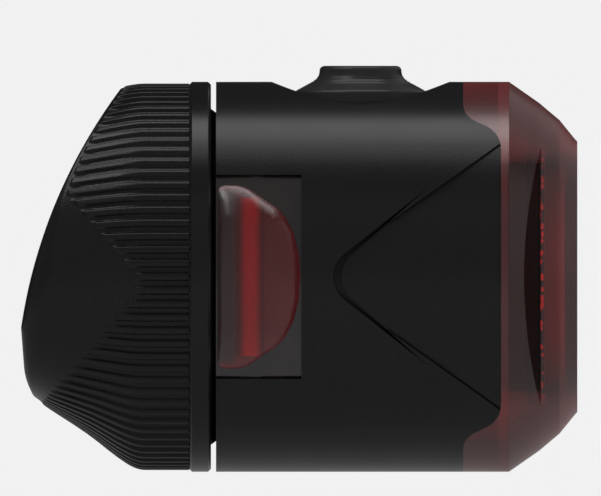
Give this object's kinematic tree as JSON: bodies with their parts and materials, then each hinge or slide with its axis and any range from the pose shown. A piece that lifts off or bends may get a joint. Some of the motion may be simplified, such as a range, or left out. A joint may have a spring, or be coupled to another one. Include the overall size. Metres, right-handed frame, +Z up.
{
  "type": "bicycle rear light",
  "caption": "Small round black rear light for a bicycle: red lens, side windows, top push button, ribbed rear cap with a post saddle that pulls off to bare a charging plug.",
  "frame": {"origin": "the point of the post saddle's surface that lies on the light's long axis", "axes": "+X along the light's axis towards the lens, +Z up through the button, +Y to the light's own left when facing the way the lens points"},
  "size_m": [0.0485, 0.034, 0.0354],
  "materials": {
    "ring_plastic": "satin black moulding",
    "cap_plastic": "satin black, ribbed",
    "pad_rubber": "soft matt black",
    "seal_rubber": "black",
    "housing_plastic": "satin black moulding",
    "red_lens": "clear red, polished",
    "plate_plastic": "black",
    "screw_steel": "zinc plated",
    "board_green": "solder mask",
    "chip_black": "moulded",
    "plug_steel": "nickel plated",
    "plug_white": "white moulding",
    "contact_gold": "gold plated",
    "cell_foil": "foil pouch",
    "foam_grey": "foam",
    "tab_nickel": "nickel strip",
    "led_resin": "clear resin",
    "board_white": "white solder mask",
    "barrel_grey": "dark grey",
    "red_optic": "clear red",
    "button_rubber": "silicone, satin",
    "stem_plastic": "black"
  },
  "bodies": {
    "mount": {"cap_ring": "ring_plastic", "rear_cap": "cap_plastic", "saddle_pad": "pad_rubber", "seal_ring": "seal_rubber"},
    "light": {"housing": "housing_plastic", "front_lens": "red_lens", "side_window_left": "red_lens", "side_window_right": "red_lens", "back_plate": "plate_plastic", "back_plate_screws": "screw_steel", "main_board": "board_green", "charge_chips": "chip_black", "usb_shell": "plug_steel", "usb_tongue": "plug_white", "usb_contacts": "contact_gold", "inner_carrier": "plate_plastic", "battery_cell": "cell_foil", "battery_pad": "foam_grey", "battery_tabs": "tab_nickel", "switch_body": "chip_black", "side_leds": "led_resin", "led_board": "board_white", "board_pins": "contact_gold", "main_leds": "led_resin", "reflector": "barrel_grey", "inner_optic": "red_optic"},
    "button": {"power_button": "button_rubber", "button_plunger": "plug_white", "switch_stem": "stem_plastic"}
  },
  "joints": [
    {"name": "light_pull", "type": "slide", "parent": "mount", "child": "light", "axis": [1, 0, 0], "range_m": [0, 0.018]},
    {"name": "button_press", "type": "slide", "parent": "light", "child": "button", "axis": [0, 0, -1], "range_m": [0, 0.0006], "stiffness_N_per_m": 3000, "springref_m": -0.0002}
  ]
}
